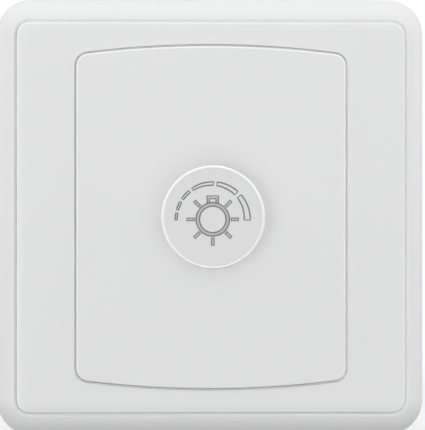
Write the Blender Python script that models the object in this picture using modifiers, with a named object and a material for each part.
"""A square rotary wall dimmer, modelled as the separate pieces it is assembled from.

X points right, Z up and -Y into the room. The wall face is the plane Y = 0, and the origin is the
centre of the plate on that face. Lengths are metres.
"""

import math
from collections import namedtuple

import bmesh
import bpy

MM = 0.001

# Clearances between pieces
SEAT_GAP = 0.3 * MM  # between faces that rest on each other
RUN_GAP = 0.25 * MM  # around a piece that turns or slides, on the radius
SCREW_GAP = 0.3 * MM  # around a screw, on the radius
BORE_GAP = 0.2 * MM  # around the flatted shaft in the pieces it drives
WINDOW_GAP = 0.3 * MM  # between the centre plate and its window
GROOVE = 0.5 * MM  # between the border and the cover panel
HEAD_CLEAR = 0.5 * MM  # between a module screw's head and the centre plate's skirt
OVERCUT = 1.0 * MM  # how far a cutter reaches past what it cuts

# Base plate: the border that shows, and the floor behind the covers
PLATE_WIDTH = 86.0 * MM
PLATE_HEIGHT = 87.8 * MM
PLATE_CORNER = 6.4 * MM
BORDER_SIDE = 3.3 * MM
BORDER_END = 4.05 * MM
BORDER_DROP = 2.2 * MM  # how far the border falls from its crest to its outer edge
BORDER_POWER = 1.6  # how late the fall of the border steepens
BORDER_EDGE = 0.5 * MM
BORDER_STATIONS = (0.4, 0.65, 0.85, 1.0)  # shares of the border's width
RIM_WALL = 2.2 * MM
FLOOR_THICKNESS = 2.0 * MM
FLOOR_WINDOW = 28.0 * MM
FLOOR_WINDOW_CORNER = 4.0 * MM

# Cover panel
PANEL_PROUD = 8.2 * MM  # front of the panel over the wall
PANEL_STEP = 0.8 * MM  # panel over the crest of the border
PANEL_WALL = 2.0 * MM
PANEL_SKIRT = 1.6 * MM
PANEL_EDGE = 0.3 * MM
PANEL_ROLL = 1.6 * MM  # width of the soft fall along the panel's edges
PANEL_ROLL_DROP = 0.17 * MM
HOOK_WIDTH = 6.0 * MM
HOOK_THICKNESS = 1.2 * MM
HOOK_BARB = 0.7 * MM
HOOK_INSET = 0.5 * MM  # skirt to hook
HOOK_SPREAD = 48.0 * MM
HOOK_FLEX = 0.9 * MM  # room for the hook to bend inwards

# Centre plate
CENTRE_WIDTH = 54.4 * MM
CENTRE_HEIGHT = 69.1 * MM
CENTRE_CORNER = 2.5 * MM
CENTRE_BOW = 200.0 * MM  # radius of the top and bottom edges
CENTRE_STEP = 0.4 * MM  # centre plate over the panel
CENTRE_WALL = 2.0 * MM
CENTRE_EDGE = 0.35 * MM
CENTRE_SKIRT = 1.6 * MM
CENTRE_SKIRT_INSET = 0.8 * MM
CENTRE_SKIRT_CORNER = 3.0 * MM
TONGUE_WIDTH = 36.0 * MM
TONGUE_THICKNESS = 1.2 * MM
TONGUE_REACH = 1.6 * MM

# Knob and its travel
KNOB_DIAMETER = 20.7 * MM
KNOB_STANDOFF = 8.5 * MM  # knob face over the centre plate
KNOB_WALL = 1.7 * MM
KNOB_EDGE = 0.6 * MM
KNOB_DRAFT = 0.1 * MM
KNOB_BOSS_WALL = 2.2 * MM
PUSH_TRAVEL = 1.5 * MM
PUSH_SPARE = 0.5 * MM

# Fixing screws into the wall box, and the screws that hold the module
FIXING_SPACING = 60.3 * MM
FIXING_DIAMETER = 3.5 * MM
FIXING_HEAD_DIAMETER = 6.8 * MM
FIXING_HEAD_HEIGHT = 1.8 * MM
FIXING_LENGTH = 25.0 * MM
FIXING_SLOT_PLAY = 3.0 * MM
MODULE_SCREW_DIAMETER = 3.0 * MM
MODULE_SCREW_HEAD_DIAMETER = 5.6 * MM
MODULE_SCREW_HEAD_HEIGHT = 1.8 * MM
MODULE_SCREW_LENGTH = 14.0 * MM
RECESS_WIDTH = 0.9 * MM
RECESS_DEPTH = 1.1 * MM
RECESS_SHARE = 0.6  # span of a cross recess as a share of its screw's head
HEAD_FACE_SHARE = 0.8  # flat of a screw's head as a share of its radius
HEAD_DOME_SHARE = 0.4  # rounded part of a screw's head as a share of its height
TIP_SHARE = 0.5  # flat end of a screw as a share of its radius
SLOT_ROUND = 0.45  # corner of a fixing slot as a share of its width

# Heat sink yoke
YOKE_THICKNESS = 1.5 * MM
YOKE_LUG = 5.5 * MM  # yoke past the centres of the fixing screws
YOKE_MARGIN = 1.0 * MM  # yoke past the housing, top and bottom
YOKE_CORNER = 4.0 * MM

# Turning control
SHAFT_DIAMETER = 6.0 * MM
SHAFT_FLAT = 1.5 * MM  # flat of the shaft from its axis
SHAFT_TIP_CHAMFER = 0.4 * MM
BUSHING_WALL = 1.3 * MM
BUSHING_FLANGE_DIAMETER = 14.0 * MM
BUSHING_FLANGE = 1.0 * MM
BUSHING_SPARE = 0.8 * MM  # thread that shows past the nut
WASHER_DIAMETER = 14.0 * MM
WASHER_THICKNESS = 0.6 * MM
NUT_ACROSS_CORNERS = 13.2 * MM
NUT_THICKNESS = 2.2 * MM
POT_DIAMETER = 24.0 * MM
POT_WALL = 1.2 * MM
RING_THICKNESS = 0.8 * MM
RING_WIDTH = 2.0 * MM
RING_GROOVE = 0.6 * MM
RING_MOUTH = 3.6 * MM
ROTOR_DIAMETER = 18.0 * MM
ROTOR_THICKNESS = 2.3 * MM
WIPER_THICKNESS = 0.3 * MM
WIPER_WIDTH = 2.4 * MM
TRACK_THICKNESS = 1.2 * MM
PIN_PITCH = 5.0 * MM
PIN_WIDTH = 0.8 * MM
PIN_INSET = 1.4 * MM  # pins from the rim of the track

# Push switch behind the control
SWITCH_WIDTH = 16.0 * MM
SWITCH_WALL = 1.2 * MM
PLUNGER_DIAMETER = 4.6 * MM
PLUNGER_FLANGE_DIAMETER = 8.0 * MM
PLUNGER_FLANGE = 1.2 * MM
PLUNGER_BOSS_DIAMETER = 3.2 * MM
PLUNGER_BOSS = 1.6 * MM
BRIDGE_LENGTH = 11.6 * MM
BRIDGE_WIDTH = 6.0 * MM
BRIDGE_THICKNESS = 0.5 * MM
CONTACT_THICKNESS = 0.6 * MM
CONTACT_WIDTH = 3.0 * MM
CONTACT_PAD = 2.0 * MM
SPRING_WIRE = 0.4 * MM
SPRING_DIAMETER = 6.0 * MM
SPRING_LENGTH = 3.5 * MM
SPRING_TURNS = 4
SPRING_STEPS = 10  # points in each turn

# Circuit board and what stands on it
BOARD_THICKNESS = 1.6 * MM
BOARD_PLAY = 0.5 * MM
COMPONENT_ROW = 17.0 * MM  # room above and below the control
COMPONENT_GAP = 0.4 * MM
TRIAC_WIDTH = 10.2 * MM
TRIAC_LENGTH = 15.5 * MM
TRIAC_BODY_LENGTH = 9.2 * MM
TRIAC_BODY = 4.4 * MM
TRIAC_TAB = 1.3 * MM
TRIAC_HOLE = 2.7 * MM  # screw from the end of the tab
TRIAC_X = 11.6 * MM
LEAD_WIDTH = 0.8 * MM
LEAD_PITCH = 2.54 * MM
LEAD_RUN = 2.0 * MM
PAD_THICKNESS = 0.4 * MM
PAD_MARGIN = 0.5 * MM
TRIAC_SCREW_HEAD = 1.8 * MM
TRIAC_SCREW_SPARE = 0.1 * MM
CHOKE_RADIUS = 4.6 * MM
CHOKE_CORE = 2.2 * MM
CHOKE_WIRE = 0.9 * MM
CHOKE_TURNS = 12
CHOKE_WOUND = math.radians(300)
CHOKE_STEPS = 9  # points of the winding in each turn
FILM_SIZE = (17.5 * MM, 13.0 * MM, 7.0 * MM)
CASE_EDGE = 0.5 * MM  # rounding of the capacitors' cases
TIMING_SIZE = (7.2 * MM, 6.5 * MM, 3.2 * MM)
TIMING_X = 4.6 * MM
FUSE_DIAMETER = 5.2 * MM
FUSE_LENGTH = 20.0 * MM
FUSE_CAP = 5.0 * MM
FUSE_GLASS_STEP = 0.2 * MM
FUSE_X = -8.5 * MM
FUSE_FROM_CONTROL = 5.0 * MM
CLIP_THICKNESS = 0.5 * MM
CLIP_WIDTH = 4.4 * MM
RESISTOR_DIAMETER = 2.4 * MM
RESISTOR_LENGTH = 6.5 * MM
RESISTOR_X = -14.0 * MM
DIAC_DIAMETER = 2.0 * MM
DIAC_LENGTH = 4.0 * MM
DIAC_X = -3.4 * MM
LEAD_WIRE = 0.6 * MM
LEAD_REACH = 1.9 * MM
LEAD_LIFT = 0.8 * MM
SMALL_ROW_PITCH = 3.4 * MM

# Rear housing
HOUSING_WIDTH = 50.0 * MM
HOUSING_WALL = 2.0 * MM
HOUSING_CORNER = 3.0 * MM
HOUSING_EDGE = 0.8 * MM
HOUSING_REAR_ROOM = 1.9 * MM  # free space behind the board
POST_DIAMETER = 7.0 * MM
POST_LENGTH = 13.7 * MM
POST_INSET = 4.0 * MM  # post centres from the housing's sides
LEDGE_WIDTH = 6.0 * MM
VENT_WIDTH = 2.0 * MM
VENT_LENGTH = 13.0 * MM
VENT_PITCH = 5.0 * MM
TOP_VENTS = 5
SIDE_VENTS = 4
VENT_FROM_FRONT = 5.0 * MM

# Wire terminals
TERMINAL_PITCH = 14.0 * MM
PILLAR_WIDTH = 8.0 * MM
PILLAR_DEPTH = 7.9 * MM
WIRE_HOLE_DIAMETER = 3.6 * MM
WIRE_HOLE_INSET = 1.2 * MM
WIRE_FUNNEL = 0.5 * MM
TERMINAL_SCREW_DIAMETER = 3.0 * MM
TERMINAL_HEAD_DIAMETER = 5.0 * MM
TERMINAL_HEAD_HEIGHT = 1.6 * MM
SLOT_WIDTH = 1.0 * MM
SLOT_DEPTH = 0.8 * MM
TERMINAL_BLOCK_MARGIN = 2.0 * MM

# Roundness
CORNER_STEPS = 5
BOW_STEPS = 8
ROUND_STEPS = 32
SMALL_STEPS = 16
CORE_STEPS = 24
CORE_SIDES = 12
NUT_SIDES = 6
ROUND_SHARE = 0.3  # middle point of a two-step rounding, as a share of its radius
LEAST_CORNER = 0.2 * MM
AXIS_MARK = 10.0 * MM

# Levels along Y, front to back: negative stands in the room, positive lies behind the wall face
FLOOR_REAR = -(YOKE_THICKNESS + SEAT_GAP)
FLOOR_FRONT = FLOOR_REAR - FLOOR_THICKNESS
COVER_FOOT = FLOOR_FRONT - SEAT_GAP
PANEL_FRONT = -PANEL_PROUD
PANEL_BACK = PANEL_FRONT + PANEL_WALL
BORDER_CREST = PANEL_FRONT + PANEL_STEP
CENTRE_FRONT = PANEL_FRONT - CENTRE_STEP
CENTRE_BACK = CENTRE_FRONT + CENTRE_WALL
KNOB_FRONT = CENTRE_FRONT - KNOB_STANDOFF
KNOB_REAR = CENTRE_FRONT - PUSH_TRAVEL - PUSH_SPARE
SHAFT_FRONT = KNOB_FRONT + KNOB_WALL + SEAT_GAP
WASHER_REAR = -(YOKE_THICKNESS + SEAT_GAP)
NUT_REAR = WASHER_REAR - WASHER_THICKNESS - SEAT_GAP
BUSHING_FRONT = NUT_REAR - NUT_THICKNESS - BUSHING_SPARE
BUSHING_REAR = SEAT_GAP + BUSHING_FLANGE
POT_FRONT = BUSHING_REAR + SEAT_GAP
RING_FRONT = POT_FRONT + POT_WALL + SEAT_GAP
RING_REAR = RING_FRONT + RING_THICKNESS
ROTOR_FRONT = RING_REAR + PUSH_TRAVEL + SEAT_GAP
ROTOR_REAR = ROTOR_FRONT + ROTOR_THICKNESS
WIPER_FRONT = ROTOR_REAR + SEAT_GAP
TRACK_FRONT = WIPER_FRONT + WIPER_THICKNESS + SEAT_GAP
TRACK_REAR = TRACK_FRONT + TRACK_THICKNESS
SWITCH_FRONT = TRACK_REAR + SEAT_GAP
SHAFT_REAR = SWITCH_FRONT - PUSH_TRAVEL - SEAT_GAP
PLUNGER_FRONT = SHAFT_REAR + SEAT_GAP
FLANGE_FRONT = SWITCH_FRONT + SWITCH_WALL + SEAT_GAP
BRIDGE_FRONT = FLANGE_FRONT + PLUNGER_FLANGE + SEAT_GAP
BRIDGE_REAR = BRIDGE_FRONT + BRIDGE_THICKNESS
CONTACT_FRONT = BRIDGE_REAR + PUSH_TRAVEL + SEAT_GAP
SPRING_FRONT = BRIDGE_REAR + SEAT_GAP
SWITCH_FLOOR = SPRING_FRONT + SPRING_LENGTH + SEAT_GAP
SWITCH_REAR = SWITCH_FLOOR + SWITCH_WALL
BOARD_FRONT = SWITCH_REAR + SEAT_GAP
BOARD_REAR = BOARD_FRONT + BOARD_THICKNESS
COMPONENT_SEAT = BOARD_FRONT - SEAT_GAP
PILLAR_FRONT = BOARD_REAR + SEAT_GAP
PILLAR_REAR = PILLAR_FRONT + PILLAR_DEPTH
WIRE_LEVEL = PILLAR_FRONT + WIRE_HOLE_INSET + WIRE_HOLE_DIAMETER / 2
HOUSING_FRONT = SEAT_GAP
HOUSING_FLOOR = BOARD_REAR + HOUSING_REAR_ROOM
HOUSING_REAR = HOUSING_FLOOR + HOUSING_WALL
BLOCK_REAR = PILLAR_REAR + SEAT_GAP + HOUSING_WALL

# Sizes that follow from the ones above
SHAFT_RADIUS = SHAFT_DIAMETER / 2
POT_RADIUS = POT_DIAMETER / 2
BUSHING_RADIUS = SHAFT_RADIUS + RUN_GAP + BUSHING_WALL
PANEL_WIDTH = PLATE_WIDTH - 2 * (BORDER_SIDE + GROOVE)
PANEL_HEIGHT = PLATE_HEIGHT - 2 * (BORDER_END + GROOVE)
BORDER_CORNER = PLATE_CORNER - BORDER_SIDE
PANEL_CORNER = BORDER_CORNER - GROOVE
HOUSING_HEIGHT = 2 * (POT_RADIUS + COMPONENT_ROW + HOUSING_WALL)
YOKE_WIDTH = FIXING_SPACING + 2 * YOKE_LUG
YOKE_HEIGHT = HOUSING_HEIGHT + 2 * YOKE_MARGIN
POST_X = HOUSING_WIDTH / 2 - POST_INSET
CENTRE_SAGITTA = CENTRE_BOW - math.sqrt(CENTRE_BOW**2 - (CENTRE_WIDTH / 2) ** 2)
SKIRT_LIMIT = (FIXING_SPACING - FIXING_HEAD_DIAMETER) / 2 - SCREW_GAP
SKIRT_X = min(CENTRE_WIDTH / 2 - CENTRE_SKIRT_INSET, SKIRT_LIMIT)
SKIRT_Z = CENTRE_HEIGHT / 2 - CENTRE_SAGITTA - CENTRE_SKIRT_INSET
POST_Z = SKIRT_Z - CENTRE_SKIRT - HEAD_CLEAR - MODULE_SCREW_HEAD_DIAMETER / 2
CAVITY_X = HOUSING_WIDTH / 2 - HOUSING_WALL
CAVITY_Z = HOUSING_HEIGHT / 2 - HOUSING_WALL
ROW_Z = POT_RADIUS + COMPONENT_ROW / 2  # middle of the component rows
ROW_END = POST_X - POST_DIAMETER / 2 - COMPONENT_GAP  # how far a row reaches to each side
CHOKE_CLEAR = CHOKE_CORE + SEAT_GAP + CHOKE_WIRE / 2  # middle of the wire from the core's middle
CHOKE_X = -(ROW_END - CHOKE_RADIUS - CHOKE_CLEAR - CHOKE_WIRE / 2)
FILM_X = ROW_END - FILM_SIZE[0] / 2
SMALL_ROW_Z = -(CAVITY_Z - (SMALL_ROW_PITCH + RESISTOR_DIAMETER) / 2 - COMPONENT_GAP)
PILLAR_BOTTOM = -CAVITY_Z + TERMINAL_BLOCK_MARGIN
PILLAR_TOP = PILLAR_BOTTOM + PILLAR_WIDTH
PILLAR_MIDDLE = (PILLAR_BOTTOM + PILLAR_TOP) / 2
BLOCK_TOP = PILLAR_TOP + HOUSING_WALL + SEAT_GAP
TRIAC_TOP = -math.sqrt((POT_RADIUS + COMPONENT_GAP) ** 2 - (TRIAC_X - TRIAC_WIDTH / 2) ** 2)
TRIAC_FRONT = 2 * SEAT_GAP + PAD_THICKNESS + SEAT_GAP

Finish = namedtuple("Finish", "colour roughness metallic")
WHITE_PLASTIC = Finish((0.76, 0.76, 0.75), 0.35, 0.0)
GREY_PLASTIC = Finish((0.32, 0.33, 0.34), 0.5, 0.0)
DARK_PLASTIC = Finish((0.03, 0.03, 0.035), 0.45, 0.0)
PHENOLIC = Finish((0.28, 0.13, 0.05), 0.6, 0.0)
BOARD_GREEN = Finish((0.04, 0.17, 0.07), 0.45, 0.0)
ALUMINIUM = Finish((0.72, 0.73, 0.74), 0.35, 1.0)
ZINC_STEEL = Finish((0.62, 0.62, 0.6), 0.3, 1.0)
BRASS = Finish((0.76, 0.57, 0.27), 0.3, 1.0)
COPPER = Finish((0.72, 0.36, 0.18), 0.3, 1.0)
FERRITE = Finish((0.06, 0.06, 0.06), 0.7, 0.0)
SILICONE = Finish((0.45, 0.5, 0.55), 0.7, 0.0)
YELLOW_CASE = Finish((0.75, 0.55, 0.06), 0.4, 0.0)
RED_CASE = Finish((0.5, 0.08, 0.05), 0.4, 0.0)
BLUE_CASE = Finish((0.08, 0.2, 0.45), 0.4, 0.0)
RESISTOR_TAN = Finish((0.68, 0.52, 0.34), 0.55, 0.0)
GLASS = Finish((0.8, 0.83, 0.82), 0.1, 0.0)


def remove_everything():
    for obj in list(bpy.data.objects):
        bpy.data.objects.remove(obj, do_unlink=True)


def new_collection(name):
    collection = bpy.data.collections.new(name)
    bpy.context.scene.collection.children.link(collection)
    return collection


remove_everything()
PARTS = new_collection("rotary_dimmer")
TOOLS = new_collection("cutters")


# Basic shapes
def place(name, bm, location=(0.0, 0.0, 0.0)):
    """Put a finished bmesh into the scene as a named object."""
    mesh = bpy.data.meshes.new(name)
    bm.to_mesh(mesh)
    bm.free()
    obj = bpy.data.objects.new(name, mesh)
    obj.location = location
    PARTS.objects.link(obj)
    return obj


def box(name, low, high):
    """A box between two corners, with its origin in its middle."""
    bm = bmesh.new()
    bmesh.ops.create_cube(bm, size=1.0)
    bmesh.ops.scale(bm, vec=[b - a for a, b in zip(low, high)], verts=bm.verts)
    return place(name, bm, [(a + b) / 2 for a, b in zip(low, high)])


def bar(name, radius, start, end, steps=SMALL_STEPS):
    """A round bar along one axis, between two points."""
    axis = max(range(3), key=lambda i: abs(end[i] - start[i]))
    bm = bmesh.new()
    bmesh.ops.create_cone(
        bm,
        cap_ends=True,
        segments=steps,
        radius1=radius,
        radius2=radius,
        depth=abs(end[axis] - start[axis]),
    )
    obj = place(name, bm, [(a + b) / 2 for a, b in zip(start, end)])
    quarter = math.pi / 2
    obj.rotation_euler = [(0.0, quarter, 0.0), (quarter, 0.0, 0.0), (0.0, 0.0, 0.0)][axis]
    return obj


def turned(name, profile, closed=False, steps=ROUND_STEPS):
    """A solid turned about Y; the profile is (radius, y) points, from rear to front outside."""
    bm = bmesh.new()
    verts = [bm.verts.new((radius, y, 0.0)) for radius, y in profile]
    for first, second in zip(verts, verts[1:]):
        bm.edges.new((first, second))
    if closed:
        bm.edges.new((verts[-1], verts[0]))
    obj = place(name, bm)
    spin = obj.modifiers.new("Turn about Y", "SCREW")
    spin.axis = "Y"
    spin.steps = steps
    spin.render_steps = steps
    spin.use_merge_vertices = True
    spin.merge_threshold = 0.00001
    spin.use_smooth_shade = True
    return obj


def outline(width, height, corner, bow=None, offset=0.0):
    """Rounded rectangle in X and Z, from the right side upwards; bow rounds its top and bottom."""
    half = width / 2 + offset
    rise = height / 2 + offset
    corner = max(corner + offset, LEAST_CORNER)
    if bow is None:
        middle = rise - corner
        turn = math.pi / 2
    else:
        centre = rise - bow - offset
        middle = centre + math.sqrt((bow + offset - corner) ** 2 - (half - corner) ** 2)
        turn = math.atan2(middle - centre, half - corner)
    quarter = []
    for step in range(CORNER_STEPS + 1):
        angle = turn * step / CORNER_STEPS
        quarter.append((half - corner + corner * math.cos(angle), middle + corner * math.sin(angle)))
    end_x, end_z = quarter[-1]
    edge = []
    for step in range(1, BOW_STEPS):
        x = end_x * (1 - 2 * step / BOW_STEPS)
        z = end_z if bow is None else centre + math.sqrt((bow + offset) ** 2 - x**2)
        edge.append((x, z))
    upper = quarter + edge + [(-x, z) for x, z in reversed(quarter)]
    return upper + [(-x, -z) for x, z in upper]


def loft(name, sections, ring=False):
    """A solid through outlines, each an (outline, y) pair; a ring runs back to its first one."""
    bm = bmesh.new()
    loops = [[bm.verts.new((x, y, z)) for x, z in points] for points, y in sections]
    following = loops[1:] + loops[:1] if ring else loops[1:]
    for first, second in zip(loops, following):
        for i in range(len(first)):
            bm.faces.new((first[i - 1], first[i], second[i], second[i - 1]))
    if not ring:
        bm.faces.new(loops[0])
        bm.faces.new(loops[-1])
    bmesh.ops.recalc_face_normals(bm, faces=bm.faces)
    return place(name, bm)


def slab(name, points, front, back):
    """A flat plate with the given outline."""
    return loft(name, [(points, front), (points, back)])


def extruded(name, points, thickness):
    """A flat outline in Y and Z, thickened along X, as a mesh at the origin."""
    curve = bpy.data.curves.new(name, "CURVE")
    curve.dimensions = "2D"
    curve.fill_mode = "BOTH"
    curve.extrude = thickness / 2
    spline = curve.splines.new("POLY")
    spline.points.add(len(points) - 1)
    for point, (y, z) in zip(spline.points, points):
        point.co = (y, z, 0.0, 1.0)
    spline.use_cyclic_u = True
    obj = bpy.data.objects.new(name, curve)
    PARTS.objects.link(obj)
    obj.rotation_euler = (math.pi / 2, 0.0, math.pi / 2)
    return meshed(obj)


def wire(name, points, radius):
    """A round wire through points."""
    curve = bpy.data.curves.new(name, "CURVE")
    curve.dimensions = "3D"
    curve.bevel_depth = radius
    curve.bevel_resolution = 2
    curve.use_fill_caps = True
    spline = curve.splines.new("POLY")
    spline.points.add(len(points) - 1)
    for point, position in zip(spline.points, points):
        point.co = (*position, 1.0)
    obj = bpy.data.objects.new(name, curve)
    PARTS.objects.link(obj)
    return obj


def meshed(curve_object):
    """The same shape as a closed mesh, which can be cut and joined."""
    bpy.context.view_layer.update()
    evaluated = curve_object.evaluated_get(bpy.context.evaluated_depsgraph_get())
    mesh = bpy.data.meshes.new_from_object(evaluated)
    name = curve_object.name
    matrix = curve_object.matrix_world.copy()
    bpy.data.objects.remove(curve_object)
    bm = bmesh.new()
    bm.from_mesh(mesh)
    bmesh.ops.remove_doubles(bm, verts=bm.verts, dist=0.000001)
    obj = place(name, bm)
    obj.matrix_world = matrix
    return obj


# Cutting, joining and finishing
def combine(target, tool, operation):
    if tool.name in PARTS.objects:
        PARTS.objects.unlink(tool)
        TOOLS.objects.link(tool)
    tool.hide_render = True
    tool.display_type = "WIRE"
    modifier = target.modifiers.new(tool.name, "BOOLEAN")
    modifier.operation = operation
    modifier.solver = "EXACT"
    modifier.object = tool


def cut(target, *tools):
    for tool in tools:
        combine(target, tool, "DIFFERENCE")


def join(target, *tools):
    for tool in tools:
        combine(target, tool, "UNION")


def repeat(obj, count, step):
    """Repeat a cutter in a straight row."""
    array = obj.modifiers.new("Row", "ARRAY")
    array.count = count
    array.use_relative_offset = False
    array.use_constant_offset = True
    array.constant_offset_displace = step
    return obj


def soften(obj, width, segments=2):
    bevel = obj.modifiers.new("Soft edges", "BEVEL")
    bevel.width = width
    bevel.segments = segments
    return obj


def finish(obj, look, parent):
    """Give a piece its own material, its shading and its place in the assembly."""
    material = bpy.data.materials.new(obj.name + "_finish")
    material.use_nodes = True
    shader = material.node_tree.nodes["Principled BSDF"]
    shader.inputs["Base Color"].default_value = (*look.colour, 1.0)
    shader.inputs["Roughness"].default_value = look.roughness
    shader.inputs["Metallic"].default_value = look.metallic
    obj.data.materials.append(material)
    if obj.type == "MESH":
        obj.data.shade_smooth()
        obj.data.set_sharp_from_angle(angle=math.radians(35))
    obj.parent = parent
    return obj


def axis_empty(name, parent=None):
    """An empty at the origin, which lies on the axis that everything turns and slides on."""
    empty = bpy.data.objects.new(name, None)
    empty.empty_display_size = AXIS_MARK
    empty.parent = parent
    PARTS.objects.link(empty)
    return empty


# Shapes that several pieces share
def flatted_bar(name, radius, flat, front, rear):
    """A bar along Y with a flat on its upper side."""
    obj = bar(name, radius, (0.0, front, 0.0), (0.0, rear, 0.0), steps=ROUND_STEPS)
    cut(obj, flat_cutter(name + "_flat", radius, flat, front - radius, rear + radius))
    return obj


def flat_cutter(name, radius, flat, front, rear):
    return box(name, (-2 * radius, front, flat), (2 * radius, rear, 2 * radius))


def screw(name, head_radius, head_height, radius, length, head_face, direction):
    """A screw along Y whose head's outer face is centred on head_face."""
    reach = head_height + length
    points = [
        (0.0, 0.0),
        (HEAD_FACE_SHARE * head_radius, 0.0),
        (head_radius, HEAD_DOME_SHARE * head_height),
        (head_radius, head_height),
        (radius, head_height),
        (radius, reach - radius),
        (TIP_SHARE * radius, reach),
        (0.0, reach),
    ]
    profile = [(r, direction * y) for r, y in points]
    obj = turned(name, profile if direction < 0 else profile[::-1], steps=SMALL_STEPS)
    obj.location = head_face
    return obj


def cross_recess(obj, head_face, head_radius, direction):
    """Cut a cross recess into a screw's head."""
    x, y, z = head_face
    span = RECESS_SHARE * head_radius
    half = RECESS_WIDTH / 2
    front = y - direction * RECESS_DEPTH
    back = y + direction * RECESS_DEPTH
    low, high = min(front, back), max(front, back)
    across = box(obj.name + "_recess", (x - span, low, z - half), (x + span, high, z + half))
    join(across, box(obj.name + "_recess_2", (x - half, low, z - span), (x + half, high, z + span)))
    cut(obj, across)


def corner_places():
    """Centres of the four screws that hold the module, left to right and bottom to top."""
    return [(x, z) for z in (-POST_Z, POST_Z) for x in (-POST_X, POST_X)]


# Front pieces
def make_base_plate(parent):
    def border(share, y):
        width = PLATE_WIDTH - 2 * share * BORDER_SIDE
        height = PLATE_HEIGHT - 2 * share * BORDER_END
        return outline(width, height, PLATE_CORNER - share * BORDER_SIDE), y

    def crown(share):
        return border(share, BORDER_CREST + BORDER_DROP * (1 - share) ** BORDER_POWER)

    edge = BORDER_EDGE / BORDER_SIDE
    edge_level = crown(edge)[1]
    window = outline(FLOOR_WINDOW, FLOOR_WINDOW, FLOOR_WINDOW_CORNER)
    rim = outline(PLATE_WIDTH, PLATE_HEIGHT, PLATE_CORNER, offset=-RIM_WALL)
    sections = [border(0.0, 0.0), border(0.0, edge_level + BORDER_EDGE)]
    sections.append(border(ROUND_SHARE * edge, edge_level + ROUND_SHARE * BORDER_EDGE))
    sections += [crown(share) for share in (edge, *BORDER_STATIONS)]
    sections += [border(1.0, FLOOR_FRONT), (window, FLOOR_FRONT), (window, FLOOR_REAR)]
    sections += [(rim, FLOOR_REAR), (rim, 0.0)]
    plate = loft("base_plate", sections, ring=True)
    for number, (x, z) in enumerate(hook_places(), 1):
        inner = z - math.copysign(HOOK_FLEX, z)
        outer = z + math.copysign(HOOK_THICKNESS + SEAT_GAP, z)
        half = HOOK_WIDTH / 2 + SEAT_GAP
        low = (x - half, FLOOR_FRONT - OVERCUT, min(inner, outer))
        high = (x + half, FLOOR_REAR + OVERCUT, max(inner, outer))
        cut(plate, box(f"hook_slot_{number}", low, high))
    return finish(plate, WHITE_PLASTIC, parent)


def hook_places():
    """Inner faces of the cover panel's hooks, as (x, z)."""
    z = PANEL_HEIGHT / 2 - PANEL_SKIRT - HOOK_INSET - HOOK_THICKNESS
    return [(sx * HOOK_SPREAD / 2, sz * z) for sz in (-1, 1) for sx in (-1, 1)]


def panel_hook(name, x, z):
    """A snap hook that reaches through the floor and catches behind it."""
    side = math.copysign(1.0, z)
    catch = FLOOR_REAR + SEAT_GAP
    points = [
        (PANEL_BACK - PANEL_WALL / 2, 0.0),
        (catch + 2 * HOOK_BARB, 0.0),
        (catch + 2 * HOOK_BARB, HOOK_THICKNESS / 2),
        (catch + HOOK_BARB / 2, HOOK_THICKNESS + HOOK_BARB),
        (catch, HOOK_THICKNESS + HOOK_BARB),
        (catch, HOOK_THICKNESS),
        (PANEL_BACK - PANEL_WALL / 2, HOOK_THICKNESS),
    ]
    hook = extruded(name, [(y, side * rise) for y, rise in points], HOOK_WIDTH)
    hook.location = (x, 0.0, z)
    return hook


def make_cover_panel(parent):
    def panel(offset, y):
        return outline(PANEL_WIDTH, PANEL_HEIGHT, PANEL_CORNER, offset=offset), y

    def window(offset, y):
        return outline(CENTRE_WIDTH, CENTRE_HEIGHT, CENTRE_CORNER, CENTRE_BOW, WINDOW_GAP + offset), y

    rolled = PANEL_FRONT + PANEL_ROLL_DROP
    sections = [
        panel(0.0, COVER_FOOT),
        panel(0.0, rolled + PANEL_EDGE),
        panel(-ROUND_SHARE * PANEL_EDGE, rolled + ROUND_SHARE * PANEL_EDGE),
        panel(-PANEL_EDGE, rolled),
        panel(-PANEL_EDGE - PANEL_ROLL / 2, PANEL_FRONT + PANEL_ROLL_DROP / 4),
        panel(-PANEL_EDGE - PANEL_ROLL, PANEL_FRONT),
        window(PANEL_EDGE, PANEL_FRONT),
        window(0.0, PANEL_FRONT + PANEL_EDGE),
        window(0.0, PANEL_BACK),
        panel(-PANEL_SKIRT, PANEL_BACK),
        panel(-PANEL_SKIRT, COVER_FOOT),
    ]
    cover = loft("cover_panel", sections, ring=True)
    for number, (x, z) in enumerate(hook_places(), 1):
        join(cover, panel_hook(f"panel_hook_{number}", x, z))
    return finish(cover, WHITE_PLASTIC, parent)


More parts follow.
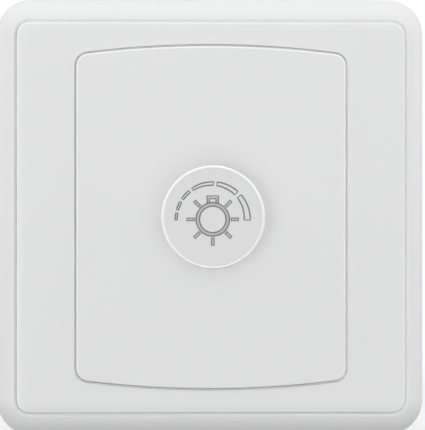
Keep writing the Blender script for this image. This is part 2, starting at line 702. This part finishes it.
def make_centre_plate(parent):
    def face(offset, y):
        return outline(CENTRE_WIDTH, CENTRE_HEIGHT, CENTRE_CORNER, CENTRE_BOW, offset), y

    skirt = outline(2 * SKIRT_X, 2 * SKIRT_Z, CENTRE_SKIRT_CORNER)
    inner = outline(2 * SKIRT_X, 2 * SKIRT_Z, CENTRE_SKIRT_CORNER, offset=-CENTRE_SKIRT)
    sections = [
        face(-CENTRE_EDGE, CENTRE_FRONT),
        face(-ROUND_SHARE * CENTRE_EDGE, CENTRE_FRONT + ROUND_SHARE * CENTRE_EDGE),
        face(0.0, CENTRE_FRONT + CENTRE_EDGE),
        face(0.0, CENTRE_BACK),
        (skirt, CENTRE_BACK),
        (skirt, COVER_FOOT),
        (inner, COVER_FOOT),
        (inner, CENTRE_BACK),
    ]
    plate = loft("centre_plate", sections)
    hole = SHAFT_RADIUS + 2 * RUN_GAP
    start = (0.0, CENTRE_FRONT - OVERCUT, 0.0)
    cut(plate, bar("shaft_hole", hole, start, (0.0, CENTRE_BACK + OVERCUT, 0.0), ROUND_STEPS))
    front = PANEL_BACK + SEAT_GAP
    root = SKIRT_Z - CENTRE_SKIRT / 2
    reach = CENTRE_HEIGHT / 2 + TONGUE_REACH
    for name, low_z, high_z in (("upper_tongue", root, reach), ("lower_tongue", -reach, -root)):
        low = (-TONGUE_WIDTH / 2, front, low_z)
        join(plate, box(name, low, (TONGUE_WIDTH / 2, front + TONGUE_THICKNESS, high_z)))
    return finish(plate, WHITE_PLASTIC, parent)


def make_knob(parent):
    radius = KNOB_DIAMETER / 2
    boss = SHAFT_RADIUS + BORE_GAP + KNOB_BOSS_WALL
    roof = KNOB_FRONT + KNOB_WALL
    bevel = ROUND_SHARE * KNOB_EDGE
    profile = [
        (0.0, KNOB_REAR),
        (boss, KNOB_REAR),
        (boss, roof),
        (radius - KNOB_WALL, roof),
        (radius - KNOB_WALL, KNOB_REAR),
        (radius, KNOB_REAR),
        (radius - KNOB_DRAFT, KNOB_FRONT + KNOB_EDGE),
        (radius - KNOB_DRAFT - bevel, KNOB_FRONT + bevel),
        (radius - KNOB_DRAFT - KNOB_EDGE, KNOB_FRONT),
        (0.0, KNOB_FRONT),
    ]
    knob = turned("knob", profile)
    bore = (SHAFT_RADIUS + BORE_GAP, SHAFT_FLAT + BORE_GAP)
    cut(knob, flatted_bar("knob_bore", *bore, roof, KNOB_REAR + OVERCUT))
    return finish(knob, WHITE_PLASTIC, parent)


def make_fixing_screws(plate, yoke, parent):
    """Two screws into the wall box, with the slots they pass through."""
    face = COVER_FOOT - FIXING_HEAD_HEIGHT
    hole = FIXING_DIAMETER + 2 * SCREW_GAP
    for name, x in (("left", -FIXING_SPACING / 2), ("right", FIXING_SPACING / 2)):
        points = [(x + px, pz) for px, pz in outline(hole + FIXING_SLOT_PLAY, hole, SLOT_ROUND * hole)]
        slot = slab(f"fixing_slot_{name}", points, FLOOR_FRONT - OVERCUT, OVERCUT)
        cut(plate, slot)
        cut(yoke, slot)
        obj = screw(
            f"fixing_screw_{name}",
            FIXING_HEAD_DIAMETER / 2,
            FIXING_HEAD_HEIGHT,
            FIXING_DIAMETER / 2,
            FIXING_LENGTH,
            (x, face, 0.0),
            1,
        )
        cross_recess(obj, (x, face, 0.0), FIXING_HEAD_DIAMETER / 2, 1)
        finish(obj, ZINC_STEEL, parent)


# Module: yoke, housing and the screws that clamp them to the base plate
def make_heat_sink(parent):
    yoke = slab("heat_sink", outline(YOKE_WIDTH, YOKE_HEIGHT, YOKE_CORNER), -YOKE_THICKNESS, 0.0)
    hole = BUSHING_RADIUS + RUN_GAP
    start = (0.0, -YOKE_THICKNESS - OVERCUT, 0.0)
    cut(yoke, bar("bushing_hole", hole, start, (0.0, OVERCUT, 0.0), ROUND_STEPS))
    return finish(yoke, ALUMINIUM, parent)


def make_module_housing(parent):
    front = HOUSING_FRONT
    outside = outline(HOUSING_WIDTH, HOUSING_HEIGHT, HOUSING_CORNER)
    rounded = outline(HOUSING_WIDTH, HOUSING_HEIGHT, HOUSING_CORNER, offset=-HOUSING_EDGE)
    housing = loft(
        "module_housing",
        [(outside, front), (outside, HOUSING_REAR - HOUSING_EDGE), (rounded, HOUSING_REAR)],
    )
    join(housing, terminal_block())
    inside = outline(2 * CAVITY_X, 2 * CAVITY_Z, HOUSING_CORNER - HOUSING_WALL / 2)
    cut(housing, slab("cavity", inside, front - OVERCUT, HOUSING_FLOOR))
    for number, (x, z) in enumerate(corner_places(), 1):
        post = bar(f"post_{number}", POST_DIAMETER / 2, (x, front, z), (x, front + POST_LENGTH, z))
        join(housing, post)
    for name, side in (("left", -1), ("right", 1)):
        outer = side * (CAVITY_X + HOUSING_WALL / 2)
        inner = side * (CAVITY_X - LEDGE_WIDTH)
        low = (min(inner, outer), PILLAR_FRONT, POT_RADIUS)
        high = (max(inner, outer), HOUSING_FLOOR + HOUSING_WALL / 2, POT_RADIUS + LEDGE_WIDTH)
        join(housing, box(f"board_ledge_{name}", low, high))
    cut_terminals(housing)
    cut_vents(housing)
    return finish(housing, GREY_PLASTIC, parent)


def terminal_block():
    """The deeper step along the bottom of the housing that holds the terminals."""
    half = TERMINAL_PITCH + PILLAR_WIDTH / 2 + SEAT_GAP + HOUSING_WALL
    middle = (BLOCK_TOP - HOUSING_HEIGHT / 2) / 2
    height = BLOCK_TOP + HOUSING_HEIGHT / 2

    def step(offset, y):
        return [(x, z + middle) for x, z in outline(2 * half, height, HOUSING_CORNER, offset=offset)], y

    return loft(
        "terminal_block",
        [
            step(0.0, HOUSING_REAR - HOUSING_EDGE - HOUSING_WALL / 2),
            step(0.0, BLOCK_REAR - HOUSING_EDGE),
            step(-HOUSING_EDGE, BLOCK_REAR),
        ],
    )


def terminal_places():
    return [(number - 2) * TERMINAL_PITCH for number in (1, 2, 3)]


def cut_terminals(housing):
    """Pockets for the pillars, holes for the wires below and for the screwdriver behind."""
    step = (TERMINAL_PITCH, 0.0, 0.0)
    x = terminal_places()[0]
    half = PILLAR_WIDTH / 2 + SEAT_GAP
    low = (x - half, HOUSING_FLOOR - OVERCUT, PILLAR_BOTTOM - SEAT_GAP)
    pocket = box("pillar_pocket", low, (x + half, PILLAR_REAR + SEAT_GAP, PILLAR_TOP + SEAT_GAP))
    funnel = WIRE_HOLE_DIAMETER / 2 + WIRE_FUNNEL
    below = -HOUSING_HEIGHT / 2 - OVERCUT
    entry = bar("wire_entry", funnel, (x, WIRE_LEVEL, below), (x, WIRE_LEVEL, PILLAR_BOTTOM))
    head = TERMINAL_HEAD_DIAMETER / 2 + SCREW_GAP
    way = bar("screw_way", head, (x, PILLAR_REAR, PILLAR_MIDDLE), (x, BLOCK_REAR + OVERCUT, PILLAR_MIDDLE))
    for tool in (pocket, entry, way):
        cut(housing, repeat(tool, len(terminal_places()), step))


def cut_vents(housing):
    """Rows of cooling slots in the top and in both sides."""
    low_y = HOUSING_FRONT + VENT_FROM_FRONT
    high_y = low_y + VENT_LENGTH
    x = -VENT_PITCH * (TOP_VENTS - 1) / 2
    half = VENT_WIDTH / 2
    top = HOUSING_HEIGHT / 2
    low = (x - half, low_y, top - 2 * HOUSING_WALL)
    slots = box("top_vents", low, (x + half, high_y, top + OVERCUT))
    cut(housing, repeat(slots, TOP_VENTS, (VENT_PITCH, 0.0, 0.0)))
    z = -VENT_PITCH * (SIDE_VENTS - 1) / 2
    for name, side in (("left_vents", -1), ("right_vents", 1)):
        inner = side * (HOUSING_WIDTH / 2 - 2 * HOUSING_WALL)
        outer = side * (HOUSING_WIDTH / 2 + OVERCUT)
        low = (min(inner, outer), low_y, z - half)
        slots = box(name, low, (max(inner, outer), high_y, z + half))
        cut(housing, repeat(slots, SIDE_VENTS, (0.0, 0.0, VENT_PITCH)))


def make_housing_screws(plate, yoke, housing, parent):
    """Four screws through the floor and the yoke into the housing's posts."""
    face = COVER_FOOT - MODULE_SCREW_HEAD_HEIGHT
    hole = MODULE_SCREW_DIAMETER / 2 + SCREW_GAP
    depth = COVER_FOOT + MODULE_SCREW_LENGTH + OVERCUT
    for number, (x, z) in enumerate(corner_places(), 1):
        way = bar(f"housing_screw_way_{number}", hole, (x, FLOOR_FRONT - OVERCUT, z), (x, depth, z))
        for piece in (plate, yoke, housing):
            cut(piece, way)
        obj = screw(
            f"housing_screw_{number}",
            MODULE_SCREW_HEAD_DIAMETER / 2,
            MODULE_SCREW_HEAD_HEIGHT,
            MODULE_SCREW_DIAMETER / 2,
            MODULE_SCREW_LENGTH,
            (x, face, z),
            1,
        )
        cross_recess(obj, (x, face, z), MODULE_SCREW_HEAD_DIAMETER / 2, 1)
        finish(obj, ZINC_STEEL, parent)


# Turning control
def make_bushing(parent):
    bore = SHAFT_RADIUS + RUN_GAP
    flange = BUSHING_FLANGE_DIAMETER / 2
    profile = [
        (bore, BUSHING_REAR),
        (flange, BUSHING_REAR),
        (flange, SEAT_GAP),
        (BUSHING_RADIUS, SEAT_GAP),
        (BUSHING_RADIUS, BUSHING_FRONT),
        (bore, BUSHING_FRONT),
    ]
    return finish(turned("bushing", profile, closed=True), ZINC_STEEL, parent)


def make_bushing_fastening(parent):
    """The washer and the nut that clamp the control to the yoke."""
    bore = BUSHING_RADIUS + RUN_GAP
    front = WASHER_REAR - WASHER_THICKNESS
    rim = WASHER_DIAMETER / 2
    ring = [(bore, WASHER_REAR), (rim, WASHER_REAR), (rim, front), (bore, front)]
    finish(turned("bushing_washer", ring, closed=True), ZINC_STEEL, parent)
    face = NUT_REAR - NUT_THICKNESS
    end = (0.0, NUT_REAR, 0.0)
    nut = bar("bushing_nut", NUT_ACROSS_CORNERS / 2, (0.0, face, 0.0), end, steps=NUT_SIDES)
    hole = bar("nut_thread", bore, (0.0, face - OVERCUT, 0.0), (0.0, NUT_REAR + OVERCUT, 0.0), ROUND_STEPS)
    cut(nut, hole)
    finish(nut, BRASS, parent)


def make_shaft(parent):
    tip = SHAFT_RADIUS - SHAFT_TIP_CHAMFER
    neck = SHAFT_RADIUS - RING_GROOVE
    groove_front = RING_FRONT - SEAT_GAP
    groove_rear = RING_REAR + SEAT_GAP
    profile = [
        (0.0, SHAFT_REAR),
        (tip, SHAFT_REAR),
        (SHAFT_RADIUS, SHAFT_REAR - SHAFT_TIP_CHAMFER),
        (SHAFT_RADIUS, groove_rear),
        (neck, groove_rear),
        (neck, groove_front),
        (SHAFT_RADIUS, groove_front),
        (SHAFT_RADIUS, SHAFT_FRONT + SHAFT_TIP_CHAMFER),
        (tip, SHAFT_FRONT),
        (0.0, SHAFT_FRONT),
    ]
    shaft = turned("shaft", profile)
    cut(
        shaft,
        flat_cutter("knob_flat", SHAFT_RADIUS, SHAFT_FLAT, SHAFT_FRONT - OVERCUT, KNOB_REAR),
        flat_cutter("rotor_flat", SHAFT_RADIUS, SHAFT_FLAT, groove_rear, SHAFT_REAR + OVERCUT),
    )
    return finish(shaft, BRASS, parent)


def make_retaining_ring(parent):
    inner = SHAFT_RADIUS - RING_GROOVE + BORE_GAP
    outer = inner + RING_WIDTH
    profile = [(inner, RING_REAR), (outer, RING_REAR), (outer, RING_FRONT), (inner, RING_FRONT)]
    ring = turned("retaining_ring", profile, closed=True)
    low = (-RING_MOUTH / 2, RING_FRONT - OVERCUT, -2 * outer)
    cut(ring, box("ring_mouth", low, (RING_MOUTH / 2, RING_REAR + OVERCUT, 0.0)))
    return finish(ring, ZINC_STEEL, parent)


def make_pot_case(parent):
    rim = TRACK_FRONT - SEAT_GAP
    inside = POT_RADIUS - POT_WALL
    floor = POT_FRONT + POT_WALL
    bore = SHAFT_RADIUS + 2 * RUN_GAP
    profile = [
        (bore, floor),
        (inside, floor),
        (inside, rim),
        (POT_RADIUS, rim),
        (POT_RADIUS, POT_FRONT),
        (bore, POT_FRONT),
    ]
    return finish(turned("pot_case", profile, closed=True), ZINC_STEEL, parent)


def make_rotor(parent):
    radius = ROTOR_DIAMETER / 2
    profile = [(0.0, ROTOR_REAR), (radius, ROTOR_REAR), (radius, ROTOR_FRONT), (0.0, ROTOR_FRONT)]
    rotor = turned("wiper_rotor", profile)
    bore = (SHAFT_RADIUS + BORE_GAP, SHAFT_FLAT + BORE_GAP)
    cut(rotor, flatted_bar("rotor_bore", *bore, ROTOR_FRONT - OVERCUT, ROTOR_REAR + OVERCUT))
    finish(rotor, DARK_PLASTIC, parent)
    inner = SHAFT_RADIUS + 2 * BORE_GAP
    half = WIPER_WIDTH / 2
    low = (-half, WIPER_FRONT, inner)
    wiper = box("wiper_contact", low, (half, WIPER_FRONT + WIPER_THICKNESS, radius))
    finish(wiper, COPPER, parent)


def make_track(parent):
    bore = SHAFT_RADIUS + 2 * RUN_GAP
    profile = [
        (bore, TRACK_REAR),
        (POT_RADIUS, TRACK_REAR),
        (POT_RADIUS, TRACK_FRONT),
        (bore, TRACK_FRONT),
    ]
    finish(turned("resistive_track", profile, closed=True), PHENOLIC, parent)
    z = -(POT_RADIUS - PIN_INSET)
    half = PIN_WIDTH / 2
    for number in (1, 2, 3):
        x = (number - 2) * PIN_PITCH
        low = (x - half, TRACK_REAR + SEAT_GAP, z - half)
        finish(box(f"pot_pin_{number}", low, (x + half, COMPONENT_SEAT, z + half)), BRASS, parent)


# Push switch
def make_switch(parent):
    half = SWITCH_WIDTH / 2
    body = box("switch_body", (-half, SWITCH_FRONT, -half), (half, SWITCH_REAR, half))
    room = half - SWITCH_WALL
    inner_front = SWITCH_FRONT + SWITCH_WALL
    cut(body, box("switch_room", (-room, inner_front, -room), (room, SWITCH_FLOOR, room)))
    hole = PLUNGER_DIAMETER / 2 + RUN_GAP
    way = bar("plunger_way", hole, (0.0, SWITCH_FRONT - OVERCUT, 0.0), (0.0, inner_front + OVERCUT, 0.0))
    cut(body, way)
    for name, side in (("left", -1), ("right", 1)):
        make_fixed_contact(body, f"fixed_contact_{name}", side, parent)
    return finish(body, DARK_PLASTIC, parent)


def make_fixed_contact(body, name, side, parent):
    """An angled blade: its pad faces the bridge, its leg goes through the switch to the board."""
    inner = BRIDGE_LENGTH / 2 - CONTACT_PAD
    outer = BRIDGE_LENGTH / 2
    half = CONTACT_WIDTH / 2
    leg = outer - CONTACT_THICKNESS

    def corners(first, second):
        return min(side * first, side * second), max(side * first, side * second)

    pad_low, pad_high = corners(inner, outer)
    leg_low, leg_high = corners(leg, outer)
    blade = box(name, (pad_low, CONTACT_FRONT, -half), (pad_high, CONTACT_FRONT + CONTACT_THICKNESS, half))
    middle = CONTACT_FRONT + CONTACT_THICKNESS / 2
    join(blade, box(name + "_leg", (leg_low, middle, -half), (leg_high, COMPONENT_SEAT, half)))
    low = (leg_low - BORE_GAP, SWITCH_FLOOR - OVERCUT, -half - BORE_GAP)
    high = (leg_high + BORE_GAP, SWITCH_REAR + OVERCUT, half + BORE_GAP)
    cut(body, box(name + "_slot", low, high))
    finish(blade, BRASS, parent)


def make_plunger(parent):
    tip = PLUNGER_DIAMETER / 2
    flange = PLUNGER_FLANGE_DIAMETER / 2
    boss = PLUNGER_BOSS_DIAMETER / 2
    flange_rear = FLANGE_FRONT + PLUNGER_FLANGE
    profile = [
        (0.0, flange_rear + PLUNGER_BOSS),
        (boss, flange_rear + PLUNGER_BOSS),
        (boss, flange_rear),
        (flange, flange_rear),
        (flange, FLANGE_FRONT),
        (tip, FLANGE_FRONT),
        (tip, PLUNGER_FRONT),
        (0.0, PLUNGER_FRONT),
    ]
    finish(turned("switch_plunger", profile, steps=SMALL_STEPS), GREY_PLASTIC, parent)
    half = BRIDGE_WIDTH / 2
    low = (-BRIDGE_LENGTH / 2, BRIDGE_FRONT, -half)
    bridge = box("contact_bridge", low, (BRIDGE_LENGTH / 2, BRIDGE_REAR, half))
    hole = boss + BORE_GAP
    start = (0.0, BRIDGE_FRONT - OVERCUT, 0.0)
    cut(bridge, bar("bridge_hole", hole, start, (0.0, BRIDGE_REAR + OVERCUT, 0.0)))
    finish(bridge, COPPER, parent)


def make_return_spring(parent):
    """A helical spring between the bridge and the floor of the switch."""
    steps = SPRING_TURNS * SPRING_STEPS
    radius = (SPRING_DIAMETER - SPRING_WIRE) / 2
    start = SPRING_FRONT + SPRING_WIRE / 2
    rise = SPRING_LENGTH - SPRING_WIRE
    points = []
    for step in range(steps + 1):
        share = step / steps
        angle = 2 * math.pi * SPRING_TURNS * share
        points.append((radius * math.cos(angle), start + rise * share, radius * math.sin(angle)))
    finish(wire("return_spring", points, SPRING_WIRE / 2), ZINC_STEEL, parent)


# Circuit board
def make_circuit_board(parent):
    half_x = CAVITY_X - BOARD_PLAY
    half_z = CAVITY_Z - BOARD_PLAY
    board = box("circuit_board", (-half_x, BOARD_FRONT, -half_z), (half_x, BOARD_REAR, half_z))
    notch = POST_DIAMETER / 2 + BOARD_PLAY
    for number, (x, z) in enumerate(corner_places(), 1):
        outer_x = math.copysign(half_x + OVERCUT, x)
        outer_z = math.copysign(half_z + OVERCUT, z)
        inner_x = x - math.copysign(notch, x)
        inner_z = z - math.copysign(notch, z)
        low = (min(inner_x, outer_x), BOARD_FRONT - OVERCUT, min(inner_z, outer_z))
        high = (max(inner_x, outer_x), BOARD_REAR + OVERCUT, max(inner_z, outer_z))
        cut(board, box(f"board_notch_{number}", low, high))
    return finish(board, BOARD_GREEN, parent)


def make_triac(yoke, parent):
    """The triac with its screw and pad, flat against the yoke, its leads bent to the board."""
    left = TRIAC_X - TRIAC_WIDTH / 2
    right = TRIAC_X + TRIAC_WIDTH / 2
    bottom = TRIAC_TOP - TRIAC_LENGTH
    tab_rear = TRIAC_FRONT + TRIAC_TAB
    triac = box("triac", (left, TRIAC_FRONT, bottom), (right, tab_rear, TRIAC_TOP))
    body_rear = TRIAC_FRONT + TRIAC_BODY
    inset = SEAT_GAP
    low = (left + inset, TRIAC_FRONT + inset, bottom - inset)
    join(triac, box("triac_body", low, (right - inset, body_rear, bottom + TRIAC_BODY_LENGTH)))
    half = LEAD_WIDTH / 2
    middle = (TRIAC_FRONT + body_rear) / 2
    for number in (1, 2, 3):
        x = TRIAC_X + (number - 2) * LEAD_PITCH
        end = bottom - LEAD_RUN
        low = (x - half, middle - half, end)
        lead = box(f"lead_{number}", low, (x + half, middle + half, bottom + half))
        leg = box(f"leg_{number}", (x - half, middle, end), (x + half, COMPONENT_SEAT, end + LEAD_WIDTH))
        join(triac, lead, leg)
    add_triac_screw(triac, yoke, tab_rear, parent)
    return finish(triac, DARK_PLASTIC, parent)


def add_triac_screw(triac, yoke, tab_rear, parent):
    z = TRIAC_TOP - TRIAC_HOLE
    margin = PAD_MARGIN
    pad_front = SEAT_GAP
    pad_left = TRIAC_X - TRIAC_WIDTH / 2 - margin
    low = (pad_left, pad_front, TRIAC_TOP - TRIAC_LENGTH - margin)
    high = (pad_left + TRIAC_WIDTH + 2 * margin, pad_front + PAD_THICKNESS, TRIAC_TOP + margin)
    pad = box("insulating_pad", low, high)
    hole = MODULE_SCREW_DIAMETER / 2 + SCREW_GAP
    start = (TRIAC_X, -YOKE_THICKNESS - OVERCUT, z)
    way = bar("triac_screw_way", hole, start, (TRIAC_X, tab_rear + OVERCUT, z))
    for piece in (triac, yoke, pad):
        cut(piece, way)
    finish(pad, SILICONE, parent)
    head = tab_rear + SEAT_GAP + TRIAC_SCREW_HEAD
    length = tab_rear + SEAT_GAP + YOKE_THICKNESS - TRIAC_SCREW_SPARE
    face = (TRIAC_X, head, z)
    radius = MODULE_SCREW_HEAD_DIAMETER / 2
    obj = screw("triac_screw", radius, TRIAC_SCREW_HEAD, MODULE_SCREW_DIAMETER / 2, length, face, -1)
    cross_recess(obj, face, radius, -1)
    finish(obj, ZINC_STEEL, parent)


def make_choke(parent):
    """A ferrite ring with its winding, flat on the board."""
    level = COMPONENT_SEAT - CHOKE_CLEAR - CHOKE_WIRE / 2
    points = []
    for side in range(CORE_SIDES):
        angle = -2 * math.pi * side / CORE_SIDES
        points.append((CHOKE_RADIUS + CHOKE_CORE * math.cos(angle), level + CHOKE_CORE * math.sin(angle)))
    core = turned("choke_core", points, closed=True, steps=CORE_STEPS)
    core.location = (CHOKE_X, 0.0, ROW_Z)
    finish(core, FERRITE, parent)
    steps = CHOKE_TURNS * CHOKE_STEPS
    route = []
    for step in range(steps + 1):
        around = CHOKE_WOUND * step / steps
        turn = 2 * math.pi * CHOKE_TURNS * step / steps
        reach = CHOKE_RADIUS + CHOKE_CLEAR * math.cos(turn)
        x = CHOKE_X + reach * math.cos(around)
        z = ROW_Z + reach * math.sin(around)
        route.append((x, level + CHOKE_CLEAR * math.sin(turn), z))
    finish(wire("choke_winding", route, CHOKE_WIRE / 2), COPPER, parent)


def make_capacitors(parent):
    cases = (
        ("film_capacitor", FILM_SIZE, FILM_X, ROW_Z, YELLOW_CASE),
        ("timing_capacitor", TIMING_SIZE, TIMING_X, SMALL_ROW_Z, RED_CASE),
    )
    for name, (width, depth, height), x, z, look in cases:
        low = (x - width / 2, COMPONENT_SEAT - depth, z - height / 2)
        case = box(name, low, (x + width / 2, COMPONENT_SEAT, z + height / 2))
        finish(soften(case, CASE_EDGE), look, parent)


def axial_part(name, x, z, diameter, length, look, parent):
    """A small round component along X, on two leads bent down to the board."""
    radius = diameter / 2
    level = COMPONENT_SEAT - LEAD_LIFT - radius
    body = bar(name, radius, (x - length / 2, level, z), (x + length / 2, level, z))
    reach = length / 2 + LEAD_REACH
    bend = LEAD_WIRE
    route = [
        (x - reach, COMPONENT_SEAT, z),
        (x - reach, level + bend, z),
        (x - reach + bend, level, z),
        (x + reach - bend, level, z),
        (x + reach, level + bend, z),
        (x + reach, COMPONENT_SEAT, z),
    ]
    join(body, meshed(wire(name + "_lead", route, LEAD_WIRE / 2)))
    finish(body, look, parent)


def make_small_components(parent):
    half = SMALL_ROW_PITCH / 2
    size = (RESISTOR_DIAMETER, RESISTOR_LENGTH)
    axial_part("resistor_1", RESISTOR_X, SMALL_ROW_Z + half, *size, RESISTOR_TAN, parent)
    axial_part("resistor_2", RESISTOR_X, SMALL_ROW_Z - half, *size, RESISTOR_TAN, parent)
    axial_part("diac", DIAC_X, SMALL_ROW_Z, DIAC_DIAMETER, DIAC_LENGTH, BLUE_CASE, parent)


def make_fuse(parent):
    """A glass fuse in two spring clips."""
    radius = FUSE_DIAMETER / 2
    z = -(POT_RADIUS + FUSE_FROM_CONTROL)
    level = COMPONENT_SEAT - CLIP_THICKNESS - SEAT_GAP - radius
    half = FUSE_LENGTH / 2
    waist = half - FUSE_CAP
    glass = radius - FUSE_GLASS_STEP
    points = [
        (0.0, half),
        (radius, half),
        (radius, waist),
        (glass, waist),
        (glass, -waist),
        (radius, -waist),
        (radius, -half),
        (0.0, -half),
    ]
    fuse = turned("fuse", points, steps=SMALL_STEPS)
    fuse.rotation_euler = (0.0, 0.0, -math.pi / 2)
    fuse.location = (FUSE_X, level, z)
    finish(fuse, GLASS, parent)
    inner = radius + SEAT_GAP
    outer = inner + CLIP_THICKNESS
    base = COMPONENT_SEAT - CLIP_THICKNESS
    arm = level - radius / 2
    channel = [(COMPONENT_SEAT, -outer), (arm, -outer), (arm, -inner), (base, -inner)]
    channel += [(y, -rise) for y, rise in reversed(channel)]
    for number, side in ((1, -1), (2, 1)):
        clip = extruded(f"fuse_clip_{number}", channel, CLIP_WIDTH)
        clip.location = (FUSE_X + side * (half - FUSE_CAP / 2), 0.0, z)
        finish(clip, BRASS, parent)


def make_terminals(parent):
    """Brass pillars for the wires, each with its clamping screw."""
    half = PILLAR_WIDTH / 2
    tip = WIRE_LEVEL + WIRE_HOLE_DIAMETER / 2 + SEAT_GAP
    seat = PILLAR_REAR + SEAT_GAP
    bore = TERMINAL_SCREW_DIAMETER / 2 + SCREW_GAP
    for number, x in enumerate(terminal_places(), 1):
        pillar = box(
            f"terminal_pillar_{number}",
            (x - half, PILLAR_FRONT, PILLAR_BOTTOM),
            (x + half, PILLAR_REAR, PILLAR_TOP),
        )
        low = (x, WIRE_LEVEL, PILLAR_BOTTOM - OVERCUT)
        high = (x, WIRE_LEVEL, PILLAR_TOP + OVERCUT)
        cut(pillar, bar(f"wire_hole_{number}", WIRE_HOLE_DIAMETER / 2, low, high))
        start = (x, WIRE_LEVEL, PILLAR_MIDDLE)
        cut(pillar, bar(f"screw_hole_{number}", bore, start, (x, PILLAR_REAR + OVERCUT, PILLAR_MIDDLE)))
        finish(pillar, BRASS, parent)
        face = (x, seat + TERMINAL_HEAD_HEIGHT, PILLAR_MIDDLE)
        radius = TERMINAL_HEAD_DIAMETER / 2
        obj = screw(
            f"terminal_screw_{number}",
            radius,
            TERMINAL_HEAD_HEIGHT,
            TERMINAL_SCREW_DIAMETER / 2,
            seat - tip,
            face,
            -1,
        )
        slot_low = (x - 2 * radius, face[1] - SLOT_DEPTH, PILLAR_MIDDLE - SLOT_WIDTH / 2)
        slot_high = (x + 2 * radius, face[1] + OVERCUT, PILLAR_MIDDLE + SLOT_WIDTH / 2)
        cut(obj, box(f"driver_slot_{number}", slot_low, slot_high))
        finish(obj, ZINC_STEEL, parent)


def build():
    fixed = axis_empty("fixed_pieces")
    turning = axis_empty("turn_axis", fixed)
    pushing = axis_empty("push_axis", turning)
    plunging = axis_empty("plunger_axis", fixed)

    plate = make_base_plate(fixed)
    make_cover_panel(fixed)
    make_centre_plate(fixed)
    make_knob(pushing)

    yoke = make_heat_sink(fixed)
    housing = make_module_housing(fixed)
    make_fixing_screws(plate, yoke, fixed)
    make_housing_screws(plate, yoke, housing, fixed)

    make_bushing(fixed)
    make_bushing_fastening(fixed)
    make_shaft(pushing)
    make_retaining_ring(pushing)
    make_pot_case(fixed)
    make_rotor(turning)
    make_track(fixed)

    make_switch(fixed)
    make_plunger(plunging)
    make_return_spring(fixed)

    make_circuit_board(fixed)
    make_triac(yoke, fixed)
    make_choke(fixed)
    make_capacitors(fixed)
    make_small_components(fixed)
    make_fuse(fixed)
    make_terminals(fixed)


build()
